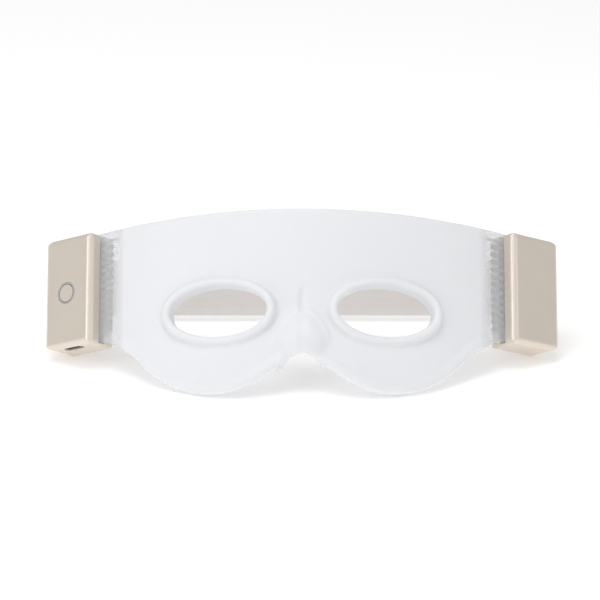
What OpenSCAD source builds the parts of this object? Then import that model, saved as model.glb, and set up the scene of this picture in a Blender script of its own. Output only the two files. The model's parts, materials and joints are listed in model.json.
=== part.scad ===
// Eye massager mask: a curved silicone face sheet held between two control pods, with an elastic head strap.
// The mask is drawn upright (x across, y towards the face, z up) and then leant back to stand on a table.

/* [Mask] */
// Radius that the face sheet is curved to, seen from above
sheet_radius = 138; // [130:1:150]
// Thickness of the silicone sheet
sheet_t = 3; // [2.6:0.1:3.4]
// Depth of the turned-back rim along the lower edge
rim_depth = 4; // [4:0.5:6]
// Lean of the mask away from upright when it stands on a table
lean = 35; // [34:0.5:36]

/* [Eyes] */
// Distance from the nose line to each eye's centre
eye_x = 32; // [31:0.5:34]
// Height of the eye centres above the lowest edge
eye_z = 32; // [30:0.5:34]
// Half the width of an eye opening
eye_half_w = 19; // [17:0.5:20]
// Half the height of an eye opening
eye_half_h = 10; // [9:0.5:11]

/* [Pods] */
// Width of a pod across its front
pod_w = 24; // [24:0.5:26]
// Height of a pod
pod_h = 44.4; // [42.4:0.5:45.4]
// Thickness of a pod from front to back
pod_t = 14.5; // [14:0.5:16]

/* [Strap] */
// Width of the elastic strap
strap_w = 22; // [20:0.5:24]
// Thickness of the elastic strap
strap_t = 1.6; // [1.2:0.1:2]

/* [Hidden] */
$fn = 48;
LEFT = -1;
RIGHT = 1;
SIDES = [LEFT, RIGHT];
eps = 0.01;
cut = 1;

// Sheet
sheet_gap = 0.05;
pod_angle = 39.6;
sheet_end_angle = 36.6;
top_mid_z = 72;
top_end_z = 68;
sheet_reach_x = 90;
rim_w = 4;
rim_proud = 0.6;
// Lower edge of the mask from the nose notch out to the temple
edge_x = [-12, 0, 12, 24, 36, 48, 58, 66, 77, 88];
edge_z = [8, 14.6, 8, 1.6, 0, 3.2, 10.4, 19.2, 26, 27];
edge_steps = 5;

// Lead between the pods, moulded into the top of the sheet
cable_r = 0.5;
cable_z = 66;
cable_depth = 2;

// Eye beads: a rounded bar swept round an oval
bead_w = 3.5;
bead_proud = 1.8;
bead_depth = 9;
bead_stations = 36;
bead_sides = 12;
bead_a = eye_half_w + bead_w / 2;
bead_b = eye_half_h + bead_w / 2;
eye_angle = asin(eye_x / sheet_radius);

// Nose bridge
nose_r = 14;
nose_wall = 2.6;
nose_back_y = 10;
nose_z = 21;

// Pods, in their own frame: x outwards, y towards the head, z up
pod_proud = 5;
pod_back_y = pod_t - pod_proud;
pod_bottom_z = 24.1;
pod_z = pod_bottom_z + pod_h / 2;
pod_wall = 1.2;
pod_outer_r = 5.2;
pod_inner_r = 2;
pod_edge_r = 2.4;
split_y = 1.7;
inner_x = -pod_w / 2;
outer_x = pod_w / 2;

// Strap pocket in the back of each pod, and the pin across it
pocket_x = 6.8;
pocket_w = 7;
pocket_h = strap_w + 5;
pocket_y = 3.4;
pocket_wall = 1;
pin_r = 1;
pin_y = 6.6;
pin_len = pocket_h + 3;
loop_r = 2.4;

// Power button and its light ring
button_x = 0.5;
button_z = -0.5;
button_r = 3.45;
button_t = 1.6;
button_stem_r = 1.2;
button_travel = 0.4;
ring_in_r = 3.7;
ring_out_r = 4.5;
ring_t = 1.9;
switch_w = 4.5;
switch_y = -1.5;
plunger_r = 0.9;
plunger_reach = 0.6;

// Board, port and battery
board_y = 0.2;
board_t = 0.8;
board_w = 12;
board_low_z = -20;
board_high_z = 17;
port_w = 9;
port_t = 3.2;
port_len = 7.3;
port_wall = 0.3;
port_x = -1;
battery_w = 11.6;
battery_h = 33;
battery_t = 4.6;

// Vibration motor, upright behind the board
motor_x = -3.2;
motor_y = 5.1;
motor_r = 2.4;
can_z = -2;
can_h = 11;
can_wall = 0.4;
shaft_r = 0.5;
shaft_gap = 0.05;
weight_z = -6.6;
weight_h = 4;
weight_r = 2.2;
cradle_h = 6;

// Screws
screw_r = 0.6;
screw_head_r = 1.2;
screw_head_h = 0.9;
boss_r = 1.6;
outer_screw = [8.2, 17.8];
inner_screw = [-9.4, 13.5];

// Clamp comb moulded into each end of the sheet
comb_t = 1;
comb_y = 1.3;
comb_h = 38;
tooth_pitch = 3;
tooth_w = 1.5;
tooth_len = 6;
tooth_count = 12;
spine_w = 4;

// Strap path, in the standing frame
strap_back_y = 89.5;
strap_low_z = 2.6;
strap_corner_r = 25;
strap_turn_steps = 10;
keeper_len = 10;
keeper_gap = 0.3;
keeper_wall = 1.6;
keeper_travel = 30;

// ---- frames ----

// Where the rim meets the table, and the height that brings it down to it
rest_x = 38;
rest_sink = 0.1;
rest_lift = (sheet_radius - sqrt(pow(sheet_radius, 2) - pow(rest_x, 2)) + rim_depth) * sin(lean) - rest_sink;
// Shift that centres the standing mask over the origin
stand_y = -47.4;

module standing() translate([0, stand_y, rest_lift]) rotate([-lean, 0, 0]) children();

module on_sheet(angle, z) translate([sheet_radius * sin(angle), sheet_radius * (1 - cos(angle)), z])
    rotate([0, 0, angle]) children();

module at_pod(side) standing() on_sheet(side * pod_angle, pod_z) children();

function stand(p) = [p[0], p[1] * cos(lean) + p[2] * sin(lean),
                     rest_lift - p[1] * sin(lean) + p[2] * cos(lean)];

// A point in a pod's frame, given in the standing frame
function pod_point(side, x, y, z) =
    let (a = side * pod_angle, u = side * x)
    stand([sheet_radius * sin(a) + u * cos(a) - y * sin(a),
           sheet_radius * (1 - cos(a)) + u * sin(a) + y * cos(a), pod_z + z]);

// ---- shared shapes ----

// Rectangle with rounded corners
module rounded(w, h, r) {
    square([w - 2 * r, h], center = true);
    square([w, h - 2 * r], center = true);
    for (x = [-1, 1], y = [-1, 1])
        translate([x * (w / 2 - r), y * (h / 2 - r)]) circle(r);
}

// Extrudes an x-z outline along y, from y0 to y1
module along_y(y0, y1) translate([0, y1, 0]) rotate([90, 0, 0]) linear_extrude(y1 - y0) children();

// Part of the sheet's curved wall, from depth d0 to d1 behind its front
module arc_wall(d0, d1, z0, z1, half_angle)
    translate([0, sheet_radius, 0]) rotate([0, 0, -90 - half_angle])
        rotate_extrude(angle = 2 * half_angle)
            translate([sheet_radius - d1, z0]) square([d1 - d0, z1 - z0]);

// ---- face skin ----

// Smooth curve through the lower edge's points
function edge_at(i, t) =
    let (a = edge_z[i - 1], b = edge_z[i], c = edge_z[i + 1], d = edge_z[i + 2])
    b + t / 2 * ((c - a) + t * ((2 * a - 5 * b + 4 * c - d) + t * (3 * (b - c) + d - a)));
lower_half = [for (i = [1 : len(edge_x) - 3]) for (k = [0 : edge_steps - 1])
    let (t = k / edge_steps) [edge_x[i] + t * (edge_x[i + 1] - edge_x[i]), edge_at(i, t)]];
lower_edge = concat([for (i = [len(lower_half) - 1 : -1 : 1]) [-lower_half[i][0], lower_half[i][1]]],
                    lower_half);
upper_edge = [for (x = [sheet_reach_x : -10 : -sheet_reach_x])
    [x, top_end_z + (top_mid_z - top_end_z) * cos(x)]];

module mask_outline() polygon(concat([[-sheet_reach_x, edge_z[8]]], lower_edge,
                                     [[sheet_reach_x, edge_z[8]]], upper_edge));

module rim_outline() polygon(concat(lower_edge,
    [for (i = [len(lower_edge) - 1 : -1 : 0]) lower_edge[i] + [0, rim_w]]));

module sheet() intersection() {
    arc_wall(0, sheet_t, -cut, top_mid_z + cut, sheet_end_angle);
    along_y(-cut, sheet_radius) mask_outline();
}

module rim() intersection() {
    arc_wall(-rim_proud, rim_depth, -cut, pod_bottom_z + cut, 32.5);
    along_y(-cut, sheet_radius) rim_outline();
}

// Station i of the bead: its rounded bar's outline, set square to the oval there
function bead_section(i) =
    let (t = 360 * i / bead_stations, out = [cos(t) / bead_a, sin(t) / bead_b], n = out / norm(out))
    [for (k = [0 : bead_sides - 1])
        let (a = 360 * (k + 0.5) / bead_sides,
             u = bead_w / 2 * cos(a),
             v = bead_depth / 2 - bead_proud + bead_w / 2 * sin(a)
               + (sin(a) > 0 ? 1 : -1) * (bead_depth - bead_w) / 2)
        [bead_a * cos(t) + u * n[0], v, bead_b * sin(t) + u * n[1]]];

module eye_bead() {
    points = [for (i = [0 : bead_stations - 1]) each bead_section(i)];
    faces = [for (i = [0 : bead_stations - 1]) for (k = [0 : bead_sides - 1])
        let (j = (i + 1) % bead_stations, m = (k + 1) % bead_sides,
             a = i * bead_sides + k, b = i * bead_sides + m,
             c = j * bead_sides + m, d = j * bead_sides + k)
        each [[a, b, c], [a, c, d]]];
    polyhedron(points, faces);
}

// Opening in the sheet, to the bead's outer wall
module eye_hole() along_y(-20, 20) polygon([for (i = [0 : bead_stations - 1])
    let (p = bead_section(i)[0]) [p[0], p[2]]]);

module nose_ball(r) translate([0, nose_back_y, nose_z]) sphere(r);

module cable_path(r) translate([0, sheet_radius, cable_z]) rotate([0, 0, -90 - sheet_end_angle])
    rotate_extrude(angle = 2 * sheet_end_angle) translate([sheet_radius - cable_depth, 0]) circle(r);

module face_skin() color("whitesmoke") standing() difference() {
    union() {
        sheet();
        rim();
        intersection() {
            nose_ball(nose_r);
            along_y(-cut - nose_r, nose_back_y) mask_outline();
        }
    }
    nose_ball(nose_r - nose_wall);
    for (s = SIDES) on_sheet(s * eye_angle, eye_z) eye_hole();
    cable_path(cable_r + sheet_gap);
    for (s = SIDES) on_sheet(s * pod_angle, pod_z) {
        comb_shape(s);
        inner_screw_holes(s, screw_r + 0.1);
    }
}

module left_eye_bead() color("white") standing() on_sheet(-eye_angle, eye_z) eye_bead();
module right_eye_bead() color("white") standing() on_sheet(eye_angle, eye_z) eye_bead();

module link_cable() color("white") standing() cable_path(cable_r);

// ---- clamp combs ----

module comb_shape(side) {
    spine_x = inner_x + 3;
    translate([side * spine_x - spine_w / 2, comb_y, -comb_h / 2]) cube([spine_w, comb_t, comb_h]);
    for (i = [0 : tooth_count - 1])
        translate([side * (spine_x - spine_w / 2 - tooth_len / 2) - tooth_len / 2 - 0.5, comb_y,
                   (i - (tooth_count - 1) / 2) * tooth_pitch - tooth_w / 2])
            cube([tooth_len + 1, comb_t, tooth_w]);
}

module inner_screw_holes(side, r) for (z = SIDES)
    translate([side * inner_screw[0], pod_back_y, z * inner_screw[1]]) rotate([90, 0, 0])
        cylinder(r = r, h = pod_back_y + 2);

module clamp_comb(side) color("silver") at_pod(side) difference() {
    comb_shape(side);
    inner_screw_holes(side, screw_r + 0.1);
}

module left_clamp_comb() clamp_comb(LEFT);
module right_clamp_comb() clamp_comb(RIGHT);

// ---- pod shells ----

// Front view of a pod: large corners outwards, small ones towards the nose
module pod_front(side, inset) {
    w = pod_w - 2 * inset;
    h = pod_h - 2 * inset;
    rounded(w, h, pod_outer_r - inset);
    translate([-side * w / 4, 0]) rounded(w / 2, h, pod_inner_r - inset);
}

// A pod's outside, rounded along its front and back edges too
module pod_solid(side) intersection() {
    along_y(-pod_proud, pod_back_y) pod_front(side, 0);
    translate([0, pod_t / 2 - pod_proud, -pod_h]) linear_extrude(2 * pod_h)
        rounded(pod_w, pod_t, pod_edge_r);
    translate([-pod_w, pod_t / 2 - pod_proud, 0]) rotate([0, 90, 0]) linear_extrude(2 * pod_w)
        rounded(pod_h, pod_t, pod_edge_r);
}

module pod_cavity(side) along_y(-pod_proud + pod_wall, pod_back_y - pod_wall) pod_front(side, pod_wall);

module screw_places(side) {
    for (z = SIDES) translate([side * outer_screw[0], 0, z * outer_screw[1]]) children();
    for (z = SIDES) translate([side * inner_screw[0], 0, z * inner_screw[1]]) children();
}

module rod(r, y0, y1) translate([0, y1, 0]) rotate([90, 0, 0]) cylinder(r = r, h = y1 - y0);

module half_space(y0, y1) translate([-pod_w, y0, -pod_h]) cube([2 * pod_w, y1 - y0, 2 * pod_h]);

// The slot that the sheet's end slides into, in the mask's frame
module sheet_slot() arc_wall(-sheet_gap, sheet_t + sheet_gap, pod_bottom_z + 1, top_end_z + 2, sheet_end_angle);

module front_shell(side) color("tan") difference() {
    at_pod(side) difference() {
        intersection() {
            pod_solid(side);
            half_space(-pod_proud - cut, split_y);
        }
        difference() {
            pod_cavity(side);
            screw_places(side) rod(boss_r, -pod_proud, split_y);
        }
        screw_places(side) rod(screw_r, -2.5, split_y + cut);
        if (side == LEFT) {
            translate([side * button_x, 0, button_z]) rod(ring_out_r, -pod_proud - cut, 0);
            port_hole();
        }
    }
    standing() sheet_slot();
}

module back_shell(side) color("wheat") difference() {
    at_pod(side) difference() {
        intersection() {
            pod_solid(side);
            half_space(split_y, pod_back_y + cut);
        }
        difference() {
            pod_cavity(side);
            screw_places(side) rod(boss_r, split_y, pod_back_y);
            translate([side * pocket_x - pocket_w / 2 - pocket_wall, pocket_y - pocket_wall,
                       -pocket_h / 2 - pocket_wall])
                cube([pocket_w + 2 * pocket_wall, pod_back_y, pocket_h + 2 * pocket_wall]);
        }
        translate([side * pocket_x - pocket_w / 2, pocket_y, -pocket_h / 2])
            cube([pocket_w, pod_back_y, pocket_h]);
        translate([side * pocket_x, pin_y, -pin_len / 2]) cylinder(r = pin_r, h = pin_len);
        screw_places(side) {
            rod(screw_r, 0, pod_back_y + cut);
            rod(screw_head_r, pod_back_y - screw_head_h, pod_back_y + cut);
        }
        if (side == LEFT) port_hole();
    }
    standing() sheet_slot();
}

module left_front_shell() front_shell(LEFT);
module left_back_shell() back_shell(LEFT);
module right_front_shell() front_shell(RIGHT);
module right_back_shell() back_shell(RIGHT);

// ---- power button, left pod ----

module light_ring() color("gray") at_pod(LEFT) translate([LEFT * button_x, 0, button_z]) difference() {
    rod(ring_out_r, -pod_proud, -pod_proud + ring_t);
    rod(ring_in_r, -pod_proud - cut, 0);
}

module power_button() color("tan") at_pod(LEFT) translate([LEFT * button_x, 0, button_z]) {
    rod(button_r, -pod_proud, -pod_proud + button_t);
    rod(button_stem_r, -pod_proud + button_t - eps, switch_y - plunger_reach);
}

module switch_plunger() color("black") at_pod(LEFT) translate([LEFT * button_x, 0, button_z])
    rod(plunger_r, switch_y - plunger_reach, switch_y + 0.7);

module tact_switch() color("dimgray") at_pod(LEFT) translate([LEFT * button_x, 0, button_z]) difference() {
    translate([-switch_w / 2, switch_y, -switch_w / 2]) cube([switch_w, board_y - switch_y, switch_w]);
    rod(plunger_r + 0.05, switch_y - cut, board_y - 0.4);
}

// ---- boards, port and battery ----

module board(low, high) translate([-board_w / 2, board_y, low]) cube([board_w, board_t, high - low]);

module main_board() color("green") at_pod(LEFT) board(board_low_z, board_high_z);

module board_chips() color("black") at_pod(LEFT) {
    translate([-3.5, board_y - 1, 6]) cube([5, 1, 5]);
    translate([-2, board_y - 0.9, -9.5]) cube([3, 0.9, 3]);
    translate([-4.8, board_y - 1.2, 13]) cube([3.6, 1.2, 2.6]);
}

module status_led() color("white") at_pod(LEFT)
    translate([-4.2, board_y - 0.7, -2]) cube([1.2, 0.7, 1.6]);

module port_box(grow, z0, z1) translate([LEFT * port_x, board_y - port_t / 2, z0]) linear_extrude(z1 - z0)
    rounded(port_w + 2 * grow, port_t + 2 * grow, port_t / 2 + grow - eps);

module port_hole() port_box(0.1, -pod_h, -pod_h / 2 + 2 * pod_wall);

port_mouth_z = -pod_h / 2 + 0.4;

module charging_port() color("silver") at_pod(LEFT) difference() {
    port_box(0, port_mouth_z, port_mouth_z + port_len);
    port_box(-port_wall, port_mouth_z - cut, port_mouth_z + port_len - 1);
}

module port_tongue() color("black") at_pod(LEFT)
    translate([LEFT * port_x - 3.3, board_y - port_t / 2 - 0.35, port_mouth_z + 0.8])
        cube([6.6, 0.7, port_len - 1.8]);

module battery_pack() color("lightgray") at_pod(RIGHT)
    translate([-battery_w / 2, board_y - battery_t + 1.6, -battery_h / 2 - 1.5]) cube([battery_w, battery_t, battery_h]);

module battery_board() color("green") at_pod(RIGHT)
    translate([-battery_w / 2, board_y - 1, battery_h / 2 - 1]) cube([battery_w, 0.8, 4]);

// ---- vibration motors ----

module motor_can(side) color("silver") at_pod(side) translate([side * motor_x, motor_y, 0]) difference() {
    translate([0, 0, can_z]) cylinder(r = motor_r, h = can_h);
    translate([0, 0, can_z + 1.5]) cylinder(r = motor_r - can_wall, h = can_h - 3);
    translate([0, 0, can_z - cut]) cylinder(r = shaft_r + shaft_gap, h = can_h);
}

module motor_shaft(side) color("gray") at_pod(side) translate([side * motor_x, motor_y, 0]) {
    translate([0, 0, weight_z]) cylinder(r = shaft_r, h = can_z + can_h - 1.2 - weight_z);
    translate([0, 0, can_z + 2]) cylinder(r = motor_r - can_wall - 0.4, h = can_h - 4);
}

module motor_weight(side) color("dimgray") at_pod(side)
    translate([side * motor_x, motor_y, weight_z]) difference() {
        cylinder(r = weight_r, h = weight_h);
        translate([side * 0.8, -5, -cut]) translate([side > 0 ? 0 : -10, 0, 0]) cube([10, 10, weight_h + 2 * cut]);
        translate([0, 0, -cut]) cylinder(r = shaft_r, h = weight_h + 2 * cut);
    }

module motor_cradle(side) color("white") at_pod(side) difference() {
    translate([side * motor_x - 3, motor_y, can_z + 2]) cube([6, pod_back_y - pod_wall - motor_y, cradle_h]);
    translate([side * motor_x, motor_y, 0]) cylinder(r = motor_r, h = can_h);
}

module left_motor_can() motor_can(LEFT);
module left_motor_shaft() motor_shaft(LEFT);
module left_motor_weight() motor_weight(LEFT);
module left_motor_cradle() motor_cradle(LEFT);
module right_motor_can() motor_can(RIGHT);
module right_motor_shaft() motor_shaft(RIGHT);
module right_motor_weight() motor_weight(RIGHT);
module right_motor_cradle() motor_cradle(RIGHT);

// ---- screws ----

module shell_screws() color("silver") for (s = SIDES) at_pod(s) screw_places(s) {
    rod(screw_r, -2.2, pod_back_y - screw_head_h + eps);
    rod(screw_head_r, pod_back_y - screw_head_h, pod_back_y - 0.2);
}

// ---- strap ----

module strap_pin(side) color("silver") at_pod(side) translate([side * pocket_x, pin_y, -pin_len / 2])
    cylinder(r = pin_r, h = pin_len);

module left_strap_pin() strap_pin(LEFT);
module right_strap_pin() strap_pin(RIGHT);

// Centre line of the right half: off the pin, round a corner, and straight across the back
strap_start = pod_point(RIGHT, pocket_x, pin_y + loop_r - strap_t / 2, 0);
strap_mid_z = strap_low_z + strap_w / 2;
corner_x = strap_start[0] - strap_corner_r;
corner_y = strap_back_y - strap_corner_r;
right_path = concat([[strap_start[0], strap_start[1], 0]],
    [for (a = [0 : 90 / strap_turn_steps : 90])
        [corner_x + strap_corner_r * cos(a), corner_y + strap_corner_r * sin(a), a / 90]]);
strap_path = concat(right_path,
    [for (i = [len(right_path) - 1 : -1 : 0]) [-right_path[i][0], right_path[i][1], right_path[i][2]]]);

// Four corners of the strap's section at path point i: it untwists from the pod's lean to upright
function strap_section(i) =
    let (p = strap_path[i],
         a = strap_path[max(i - 1, 0)], b = strap_path[min(i + 1, len(strap_path) - 1)],
         dx = b[0] - a[0], dy = b[1] - a[1], n = norm([dx, dy]),
         side = [dy / n, -dx / n, 0] * strap_t / 2,
         tilt = lean * (1 - p[2]),
         up = [0, sin(tilt), cos(tilt)] * strap_w / 2,
         mid = [p[0], p[1], strap_start[2] + (strap_mid_z - strap_start[2]) * p[2]])
    [mid - side - up, mid + side - up, mid + side + up, mid - side + up];

module head_strap() color("mistyrose") {
    difference() {
        union() {
            translate([0, stand_y, 0]) strap_band();
            for (s = SIDES) at_pod(s) translate([s * pocket_x, pin_y, -strap_w / 2])
                cylinder(r = loop_r, h = strap_w);
        }
        for (s = SIDES) at_pod(s) translate([s * pocket_x, pin_y, -strap_w])
            cylinder(r = pin_r, h = 2 * strap_w);
    }
}

module strap_band() {
    n = len(strap_path);
    points = [for (i = [0 : n - 1]) each strap_section(i)];
    sides = [for (i = [0 : n - 2]) for (k = [0 : 3])
        let (a = 4 * i + k, b = 4 * i + (k + 1) % 4) each [[a, b, b + 4], [a, b + 4, a + 4]]];
    ends = [[0, 3, 2, 1], [4 * n - 4, 4 * n - 3, 4 * n - 2, 4 * n - 1]];
    polyhedron(points, concat(sides, ends));
}

module strap_keeper() color("lightgray")
    translate([0, stand_y + strap_back_y, strap_low_z + strap_w / 2]) rotate([0, 90, 0])
        translate([0, 0, -keeper_len / 2]) difference() {
            linear_extrude(keeper_len) rounded(strap_w + 2 * (keeper_gap + keeper_wall),
                                               strap_t + 2 * (keeper_gap + keeper_wall), 1.2);
            translate([0, 0, -cut]) linear_extrude(keeper_len + 2 * cut)
                square([strap_w + 2 * keeper_gap, strap_t + 2 * keeper_gap], center = true);
        }

face_skin();
left_eye_bead();
right_eye_bead();
link_cable();
left_clamp_comb();
right_clamp_comb();
left_front_shell();
left_back_shell();
right_front_shell();
right_back_shell();
light_ring();
power_button();
switch_plunger();
tact_switch();
main_board();
board_chips();
status_led();
charging_port();
port_tongue();
battery_pack();
battery_board();
left_motor_can();
left_motor_shaft();
left_motor_weight();
left_motor_cradle();
right_motor_can();
right_motor_shaft();
right_motor_weight();
right_motor_cradle();
shell_screws();
left_strap_pin();
right_strap_pin();
head_strap();
strap_keeper();
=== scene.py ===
"""Looks for the eye massager mask: frosted silicone, champagne pods, a woven strap, and the studio."""
import bpy
import bmesh
import json
import math
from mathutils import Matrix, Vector


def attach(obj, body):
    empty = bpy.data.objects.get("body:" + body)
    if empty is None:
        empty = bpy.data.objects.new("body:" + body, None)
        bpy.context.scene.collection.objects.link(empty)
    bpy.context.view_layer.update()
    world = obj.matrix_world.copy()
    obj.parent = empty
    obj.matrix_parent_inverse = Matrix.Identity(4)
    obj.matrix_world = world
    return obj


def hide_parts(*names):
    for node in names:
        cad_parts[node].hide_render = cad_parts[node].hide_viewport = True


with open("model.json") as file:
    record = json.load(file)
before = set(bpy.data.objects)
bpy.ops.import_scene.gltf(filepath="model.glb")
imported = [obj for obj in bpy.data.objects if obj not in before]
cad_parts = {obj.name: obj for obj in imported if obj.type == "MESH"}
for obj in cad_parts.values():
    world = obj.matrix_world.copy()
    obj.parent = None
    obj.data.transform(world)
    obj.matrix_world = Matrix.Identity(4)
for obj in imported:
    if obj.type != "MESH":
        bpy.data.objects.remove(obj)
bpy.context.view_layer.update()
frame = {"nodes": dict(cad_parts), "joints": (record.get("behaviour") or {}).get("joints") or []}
nodes = frame["nodes"]

MM = 0.001

# The mask's own frame, as it leans on the table: up along the sheet, back towards the face
UP = Vector(next(j["axis"] for j in frame["joints"] if j["name"] == "left_motor_spin")).normalized()
LEAN = math.atan2(UP.y, UP.z)
BACK = Vector((0, math.cos(LEAN), -math.sin(LEAN)))
MASK_ORIGIN = Vector((0, -47.4, 5.25)) * MM
SHEET_RADIUS = 138 * MM
POD_ANGLE = math.radians(39.6)
POD_Z = 46.3 * MM


def in_mask(p):
    """A standing point as x across, y back and z up in the mask's own frame."""
    q = p - MASK_ORIGIN
    return Vector((q.x, q.dot(BACK), q.dot(UP)))


def from_mask(x, y, z):
    """A point of the mask's own frame, as a standing point."""
    return MASK_ORIGIN + Vector((x, 0, 0)) + BACK * y + UP * z


def from_pod(side, x, y, z):
    """A point in a pod's frame (x outwards, y back, z up), as a standing point."""
    a = side * POD_ANGLE
    u = side * x
    return from_mask(SHEET_RADIUS * math.sin(a) + u * math.cos(a) - y * math.sin(a),
                     SHEET_RADIUS * (1 - math.cos(a)) + u * math.sin(a) + y * math.cos(a), POD_Z + z)


# ---- node materials ----

# Places of the Mix node's two colours and of its colour result
MIX_A = 6
MIX_B = 7
MIX_RESULT = 2

# How far from the nose line the silicone starts to clear, and where it is clearest
CLEAR_FROM = 68 * MM
CLEAR_TO = 74 * MM
CLEAREST = 0.45

# A wave's bands repeat every pi / 10 at scale 1, so these give threads 0.35 mm and 0.22 mm apart
WARP_SCALE = 1 / (1.1 * MM)
WEFT_SCALE = 1 / (0.7 * MM)


class Shader:
    """A small helper that builds a node material around one Principled shader."""

    def __init__(self, name, color, roughness, metallic=0.0):
        self.material = bpy.data.materials.new(name)
        self.material.use_nodes = True
        self.tree = self.material.node_tree
        self.bsdf = self.tree.nodes["Principled BSDF"]
        self.set(Roughness=roughness, Metallic=metallic)
        self.bsdf.inputs["Base Color"].default_value = (*color, 1)
        self.coords = self.add("ShaderNodeTexCoord")

    def add(self, kind, **settings):
        node = self.tree.nodes.new(kind)
        for key, value in settings.items():
            setattr(node, key, value)
        return node

    def set(self, **values):
        for key, value in values.items():
            self.bsdf.inputs[key.replace("_", " ")].default_value = value

    def link(self, out, to):
        self.tree.links.new(out, to)

    def noise(self, scale, detail=4.0):
        """Noise in the object's own coordinates: scale is about its features per metre."""
        node = self.add("ShaderNodeTexNoise")
        node.inputs["Scale"].default_value = scale
        node.inputs["Detail"].default_value = detail
        self.link(self.coords.outputs["Object"], node.inputs["Vector"])
        return node.outputs["Fac"]

    def waves(self, scale, axis):
        """Bands that repeat along U (X) or V (Y) of the UV map, which is laid out in metres."""
        node = self.add("ShaderNodeTexWave", bands_direction=axis)
        node.inputs["Scale"].default_value = scale
        node.inputs["Distortion"].default_value = 0.4
        node.inputs["Detail Scale"].default_value = 1.0
        self.link(self.coords.outputs["UV"], node.inputs["Vector"])
        return node.outputs["Fac"]

    def ramp(self, value, low, high):
        """value from 0 to 1, mapped to low to high."""
        node = self.add("ShaderNodeMapRange")
        node.inputs["To Min"].default_value = low
        node.inputs["To Max"].default_value = high
        self.link(value, node.inputs["Value"])
        return node.outputs["Result"]

    def blend_color(self, value, first, second):
        """first where value is 0, second where it is 1."""
        node = self.add("ShaderNodeMix", data_type="RGBA")
        node.inputs[MIX_A].default_value = (*first, 1)
        node.inputs[MIX_B].default_value = (*second, 1)
        self.link(value, node.inputs["Factor"])
        return node.outputs[MIX_RESULT]

    def vary(self, value, first, second):
        self.link(self.blend_color(value, first, second), self.bsdf.inputs["Base Color"])

    def rough(self, value, low, high):
        self.link(self.ramp(value, low, high), self.bsdf.inputs["Roughness"])

    def bump(self, value, distance, strength):
        node = self.add("ShaderNodeBump")
        node.inputs["Distance"].default_value = distance
        node.inputs["Strength"].default_value = strength
        self.link(value, node.inputs["Height"])
        self.link(node.outputs["Normal"], self.bsdf.inputs["Normal"])


def shade(color, factor):
    return tuple(c * factor for c in color)


def plain(name, color, roughness, metallic=0.0, grain=2500, depth=0.02 * MM):
    """A moulded or machined surface: slight colour and roughness variation over a fine grain."""
    s = Shader(name, color, roughness, metallic)
    s.vary(s.noise(60), shade(color, 0.96), shade(color, 1.03))
    s.rough(s.noise(220), roughness * 0.88, roughness * 1.14)
    s.bump(s.noise(grain, 2.0), depth, 0.3)
    return s


def silicone():
    """Frosted translucent silicone, clearer over the clamp combs near the pods."""
    color = (0.82, 0.828, 0.85)
    s = Shader("frosted_silicone", color, 0.4)
    s.vary(s.noise(35), shade(color, 0.985), shade(color, 1.012))
    s.rough(s.noise(160), 0.36, 0.46)
    s.bump(s.noise(1800, 3.0), 0.015 * MM, 0.25)
    s.set(Subsurface_Weight=0.35, Subsurface_Scale=2.5 * MM, IOR=1.41)
    s.bsdf.inputs["Subsurface Radius"].default_value = (1.0, 0.95, 0.9)
    split = s.add("ShaderNodeSeparateXYZ")
    s.link(s.coords.outputs["Object"], split.inputs["Vector"])
    across = s.add("ShaderNodeMath", operation="ABSOLUTE")
    s.link(split.outputs["X"], across.inputs[0])
    clear = s.add("ShaderNodeMapRange", interpolation_type="SMOOTHSTEP")
    clear.inputs["From Min"].default_value = CLEAR_FROM
    clear.inputs["From Max"].default_value = CLEAR_TO
    clear.inputs["To Min"].default_value = 1.0
    clear.inputs["To Max"].default_value = CLEAREST
    s.link(across.outputs[0], clear.inputs["Value"])
    s.link(clear.outputs["Result"], s.bsdf.inputs["Alpha"])
    return s.material


def champagne():
    """Satin metallic lacquer on moulded plastic."""
    s = plain("champagne_lacquer", (0.78, 0.70, 0.61), 0.33, 0.45, grain=5200, depth=0.01 * MM)
    s.set(Coat_Weight=0.25, Coat_Roughness=0.22)
    return s.material


def elastic():
    """Woven elastic: fine warp ribs along the strap and weft across it."""
    color = (0.9, 0.855, 0.825)
    s = Shader("woven_elastic", color, 0.85)
    warp = s.waves(WARP_SCALE, "Y")
    weft = s.waves(WEFT_SCALE, "X")
    weave = s.add("ShaderNodeMath", operation="MULTIPLY")
    s.link(warp, weave.inputs[0])
    s.link(weft, weave.inputs[1])
    s.vary(weave.outputs[0], shade(color, 0.9), shade(color, 1.05))
    s.rough(s.noise(900), 0.78, 0.92)
    s.bump(weave.outputs[0], 0.12 * MM, 0.6)
    s.set(Sheen_Weight=0.3, Sheen_Roughness=0.5)
    return s.material


SILICONE = silicone()
CHAMPAGNE = champagne()
ELASTIC = elastic()
STEEL = plain("bright_steel", (0.72, 0.72, 0.73), 0.28, 1.0).material
RING = plain("ring_plastic", (0.40, 0.40, 0.41), 0.45).material
COMB = plain("comb_plastic", (0.36, 0.36, 0.355), 0.6).material
BLACK = plain("black_plastic", (0.035, 0.035, 0.037), 0.5).material
BOARD = plain("solder_mask", (0.03, 0.22, 0.09), 0.35).material
KEEPER = plain("keeper_plastic", (0.76, 0.73, 0.69), 0.42).material
RUBBER = plain("cradle_rubber", (0.6, 0.6, 0.6), 0.7).material
FOIL = plain("battery_foil", (0.7, 0.7, 0.72), 0.4, 0.9).material
LENS = plain("led_lens", (0.85, 0.85, 0.8), 0.15).material
WEIGHT = plain("sintered_weight", (0.3, 0.29, 0.28), 0.5, 1.0).material

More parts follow.
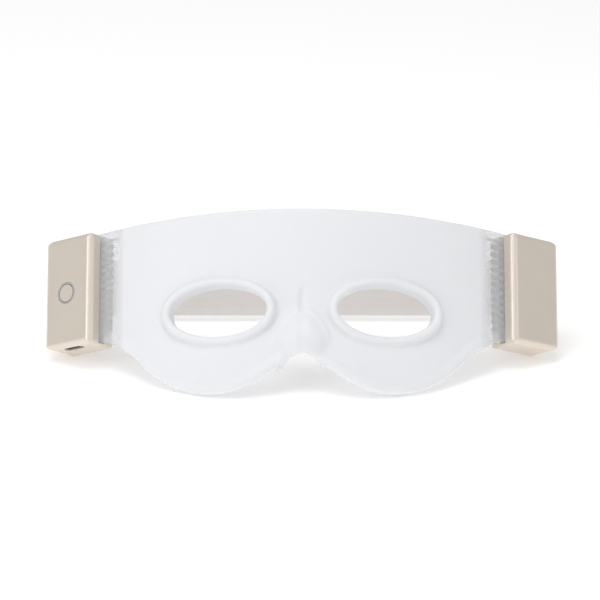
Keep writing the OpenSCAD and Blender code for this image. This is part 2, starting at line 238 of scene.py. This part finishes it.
NODE_LOOKS = {
    CHAMPAGNE: ["left_front_shell", "left_back_shell", "right_front_shell", "right_back_shell",
                "power_button"],
    RING: ["light_ring"],
    COMB: ["left_clamp_comb", "right_clamp_comb"],
    BLACK: ["switch_plunger", "tact_switch", "board_chips", "port_tongue"],
    BOARD: ["main_board", "battery_board"],
    STEEL: ["charging_port", "left_motor_can", "right_motor_can", "left_motor_shaft", "right_motor_shaft",
            "shell_screws", "left_strap_pin", "right_strap_pin"],
    WEIGHT: ["left_motor_weight", "right_motor_weight"],
    RUBBER: ["left_motor_cradle", "right_motor_cradle", "link_cable"],
    FOIL: ["battery_pack"],
    LENS: ["status_led"],
    KEEPER: ["strap_keeper"],
}
for look, names in NODE_LOOKS.items():
    for name in names:
        for place in nodes[name].material_slots:
            place.material = look


# ---- shared mesh work ----

def add_object(name, mesh, material):
    obj = bpy.data.objects.new(name, mesh)
    bpy.context.scene.collection.objects.link(obj)
    mesh.materials.clear()
    mesh.materials.append(material)
    mesh.polygons.foreach_set("use_smooth", [True] * len(mesh.polygons))
    return obj


def applied(obj):
    """The object's mesh with its modifiers made real."""
    graph = bpy.context.evaluated_depsgraph_get()
    mesh = bpy.data.meshes.new_from_object(obj.evaluated_get(graph))
    obj.modifiers.clear()
    obj.data = mesh
    return obj


def fused_copy(name, sources, material, voxel, rounds):
    """One soft skin around copies of CAD nodes, its joints and edges rounded by smoothing."""
    bm = bmesh.new()
    for source in sources:
        bm.from_mesh(nodes[source].data)
    bmesh.ops.remove_doubles(bm, verts=bm.verts, dist=0.002 * MM)
    mesh = bpy.data.meshes.new(name)
    bm.to_mesh(mesh)
    bm.free()
    obj = add_object(name, mesh, material)
    remesh = obj.modifiers.new("skin", "REMESH")
    remesh.mode = "VOXEL"
    remesh.voxel_size = voxel
    smooth = obj.modifiers.new("soft", "SMOOTH")
    smooth.factor = 0.5
    smooth.iterations = rounds
    applied(obj)
    obj.data.materials.clear()
    obj.data.materials.append(material)
    obj.data.polygons.foreach_set("use_smooth", [True] * len(obj.data.polygons))
    return obj


# ---- silicone mask ----

# Voxel size and smoothing rounds that make the silicone skin
SKIN_VOXEL = 0.6 * MM
SKIN_ROUNDS = 12
# Half the width of the strip that the nose relief is worked into
NOSE_REACH = 16 * MM
# The nose arch: its foot, its half-width and its height above the foot
ARCH_FOOT = 16 * MM
ARCH_HALF_W = 10.5 * MM
ARCH_HEIGHT = 15.5 * MM
RIDGE_HEIGHT = 0.7 * MM
CREASE_DEPTH = 1.0 * MM
GROOVE_DEPTH = 0.45 * MM


def bell(value, centre, width):
    """A smooth bump of height 1."""
    return math.exp(-((value - centre) / width) ** 2)


def step(value, low, high):
    """Rises smoothly from 0 at low to 1 at high."""
    t = min(max((value - low) / (high - low), 0.0), 1.0)
    return t * t * (3 - 2 * t)


def nose_relief(x, z):
    """Height added to the sheet's front by the nose bridge: a crease, an arch under it, a central groove."""
    crease = (-CREASE_DEPTH * bell(x, 0, 1.1 * MM)
              * step(z, 30 * MM, 32 * MM) * (1 - step(z, 37 * MM, 42 * MM)))
    arch = math.hypot(x / ARCH_HALF_W, (z - ARCH_FOOT) / ARCH_HEIGHT)
    ridge = RIDGE_HEIGHT * bell(arch, 1.0, 0.09) * step(z, ARCH_FOOT, 22 * MM)
    groove = (-GROOVE_DEPTH * bell(x, 0, 1.8 * MM)
              * step(z, 14 * MM, 17 * MM) * (1 - step(z, 27 * MM, 30 * MM)))
    return crease + ridge + groove


# The combs and the cable are in the copy too, so that the silicone closes over them
SKIN_SOURCES = ["face_skin", "left_eye_bead", "right_eye_bead", "left_clamp_comb", "right_clamp_comb",
                "link_cable"]
mask = fused_copy("silicone_mask", SKIN_SOURCES, SILICONE, SKIN_VOXEL, SKIN_ROUNDS)
# The relief goes on the front only, so surfaces that are turned to the face are left out
for vertex in mask.data.vertices:
    p = in_mask(vertex.co)
    if abs(p.x) < NOSE_REACH and vertex.normal.dot(BACK) < 0.2:
        vertex.co -= BACK * nose_relief(p.x, p.z)
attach(mask, "mask")
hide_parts("face_skin", "left_eye_bead", "right_eye_bead")

# ---- head strap ----

STRAP_W = 22 * MM
STRAP_T = 1.5 * MM
STRAP_LOW = 2.6 * MM
STRAP_BACK_Y = MASK_ORIGIN.y + 89.5 * MM
CORNER_R = 25 * MM
POCKET_X = 6.8 * MM
PIN_Y = 6.6 * MM
LOOP_R = 2.35 * MM
PIN_R = 1.05 * MM
# Gap between each end of a loop and the strap's edge
LOOP_INSET = 0.2 * MM
# Fine grooves along the strap, at these millimetres from its centre line
GROOVES = (-6.5, -4.6, 5.6)
GROOVE_W = 0.3 * MM
GROOVE_T = 0.22 * MM
# The strap thins over its last EDGE_ROUND, to EDGE_THIN of its thickness
EDGE_ROUND = 0.7 * MM
EDGE_THIN = 0.35
# Faces along the strap's parts, across it and round a loop
START_STEPS = 4
CORNER_STEPS = 24
BACK_STEPS = 30
PROFILE_STEPS = 44
LOOP_STEPS = 32


def strap_line():
    """Centre line as (point, turn), turn from 0 at the pod to 1 along the back."""
    start = from_pod(1, POCKET_X, PIN_Y + LOOP_R - STRAP_T / 2, 0)
    middle_z = STRAP_LOW + STRAP_W / 2
    cx = start.x - CORNER_R
    cy = STRAP_BACK_Y - CORNER_R
    half = [(start.x, start.y + (cy - start.y) * k / START_STEPS, 0.0) for k in range(START_STEPS)]
    half += [(cx + CORNER_R * math.cos(a), cy + CORNER_R * math.sin(a), a / (math.pi / 2))
             for a in [math.pi / 2 * k / CORNER_STEPS for k in range(CORNER_STEPS + 1)]]
    half += [(cx * (1 - k / BACK_STEPS), STRAP_BACK_Y, 1.0) for k in range(1, BACK_STEPS)]
    line = half + [(0.0, STRAP_BACK_Y, 1.0)] + [(-x, y, t) for x, y, t in reversed(half)]
    return [(Vector((x, y, start.z + (middle_z - start.z) * t)), t) for x, y, t in line]


def strap_profile():
    """Half-thickness at points across the strap: rounded edges and fine grooves."""
    points = []
    for k in range(PROFILE_STEPS + 1):
        v = -STRAP_W / 2 + STRAP_W * k / PROFILE_STEPS
        edge = min(1.0, (STRAP_W / 2 - abs(v)) / EDGE_ROUND)
        half = STRAP_T / 2 * (EDGE_THIN + (1 - EDGE_THIN) * math.sqrt(max(edge, 0.0)))
        half -= GROOVE_T * sum(bell(v, at * MM, GROOVE_W) for at in GROOVES)
        points.append((v, half))
    return points


def make_strap():
    line = strap_line()
    profile = strap_profile()
    loop = [(v, h) for v, h in profile] + [(v, -h) for v, h in reversed(profile)]
    bm = bmesh.new()
    uv = bm.loops.layers.uv.new("UVMap")
    rings = []
    along = [0.0]
    for i, (p, turn) in enumerate(line):
        if i:
            along.append(along[-1] + (p - line[i - 1][0]).length)
        ahead = line[min(i + 1, len(line) - 1)][0] - line[max(i - 1, 0)][0]
        out = Vector((ahead.y, -ahead.x, 0)).normalized()
        tilt = LEAN * (1 - turn)
        up = Vector((0, math.sin(tilt), math.cos(tilt)))
        rings.append([bm.verts.new(p + up * v + out * h) for v, h in loop])
    count = len(loop)
    for i in range(len(rings) - 1):
        for k in range(count):
            m = (k + 1) % count
            face = bm.faces.new((rings[i][k], rings[i][m], rings[i + 1][m], rings[i + 1][k]))
            spots = ((i, k), (i, m), (i + 1, m), (i + 1, k))
            for corner, (a, b) in zip(face.loops, spots):
                corner[uv].uv = (along[a], loop[b][0])
    bm.faces.new(list(reversed(rings[0])))
    bm.faces.new(rings[-1])
    for side in (-1, 1):
        add_loop(bm, uv, side)
    bmesh.ops.recalc_face_normals(bm, faces=bm.faces)
    mesh = bpy.data.meshes.new("woven_strap")
    bm.to_mesh(mesh)
    bm.free()
    return add_object("woven_strap", mesh, ELASTIC)


def add_loop(bm, uv, side):
    """The loop that wraps a pod's pin: a short tube along the pin."""
    rings = []
    half_h = STRAP_W / 2 - LOOP_INSET
    turns = [2 * math.pi * k / LOOP_STEPS for k in range(LOOP_STEPS)]
    for r, z in ((LOOP_R, -1), (LOOP_R, 1), (PIN_R, 1), (PIN_R, -1)):
        rings.append([bm.verts.new(from_pod(side, POCKET_X + r * math.cos(a), PIN_Y + r * math.sin(a),
                                            z * half_h)) for a in turns])
    for j in range(len(rings)):
        for k in range(LOOP_STEPS):
            m = (k + 1) % LOOP_STEPS
            n = (j + 1) % len(rings)
            face = bm.faces.new((rings[j][k], rings[j][m], rings[n][m], rings[n][k]))
            for corner, (a, b) in zip(face.loops, ((j, k), (j, m), (n, m), (n, k))):
                corner[uv].uv = (b * 2 * math.pi * LOOP_R / LOOP_STEPS, (a % 2) * STRAP_W)


strap = make_strap()
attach(strap, "mask")
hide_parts("head_strap")

# ---- studio ----

floor_mesh = bpy.data.meshes.new("floor")
floor_mesh.from_pydata([(-4, -4, 0), (4, -4, 0), (4, 6, 0), (-4, 6, 0)], [], [(0, 1, 2, 3)])
floor_look = Shader("floor_paper", (0.93, 0.93, 0.93), 0.9)
floor_look.vary(floor_look.noise(3), (0.925, 0.925, 0.925), (0.935, 0.935, 0.935))
floor = add_object("floor", floor_mesh, floor_look.material)
floor_look.set(Emission_Color=(1, 1, 1, 1), Emission_Strength=0.27)


def area_light(name, place, target, size, power):
    """A round softbox: places and size in metres, power in watts."""
    light = bpy.data.lights.new(name, "AREA")
    light.shape = "DISK"
    light.size = size
    light.energy = power
    obj = bpy.data.objects.new(name, light)
    bpy.context.scene.collection.objects.link(obj)
    obj.location = place
    obj.rotation_euler = (Vector(target) - Vector(place)).to_track_quat("-Z", "Y").to_euler()


CENTRE = (0, 0, 0.03)
area_light("top_softbox", (-0.15, -0.25, 1.2), CENTRE, 0.9, 5.5)
area_light("left_softbox", (-0.9, -0.7, 0.7), CENTRE, 0.6, 2.4)
area_light("right_softbox", (0.9, -0.7, 0.6), CENTRE, 0.6, 1.1)

world = bpy.data.worlds.new("studio")
world.use_nodes = True
world.node_tree.nodes["Background"].inputs["Color"].default_value = (1, 1, 1, 1)
world.node_tree.nodes["Background"].inputs["Strength"].default_value = 0.5
bpy.context.scene.world = world
bpy.context.scene.view_settings.view_transform = "Standard"

# The camera looks down a little, from straight ahead, through a long lens: it sees the sheet from 15 degrees
# below square, and its axis passes AIM_RISE, up the picture, from the cheek lobes' lowest point
ELEVATION = LEAN - math.radians(15)
AIM_RISE = 35.5 * MM
AIM_X = -0.8 * MM
LOBE_X = 36 * MM
LOBE_Y = 4.8 * MM
DISTANCE = 1.5
FRAME_WIDTH = 234 * MM
SENSOR = 36.0
camera_data = bpy.data.cameras.new("camera")
camera_data.sensor_width = SENSOR
camera_data.lens = SENSOR * DISTANCE / FRAME_WIDTH
camera_data.clip_end = 20
camera = bpy.data.objects.new("camera", camera_data)
bpy.context.scene.collection.objects.link(camera)
view_up = Vector((0, math.sin(ELEVATION), math.cos(ELEVATION)))
rest_point = from_mask(LOBE_X, LOBE_Y, 0)
aim = Vector((AIM_X, 0, 0)) + view_up * (rest_point.dot(view_up) + AIM_RISE)
camera.location = aim + Vector((0, -math.cos(ELEVATION), math.sin(ELEVATION))) * DISTANCE
camera.rotation_euler = (math.pi / 2 - ELEVATION, 0, 0)
bpy.context.scene.camera = camera
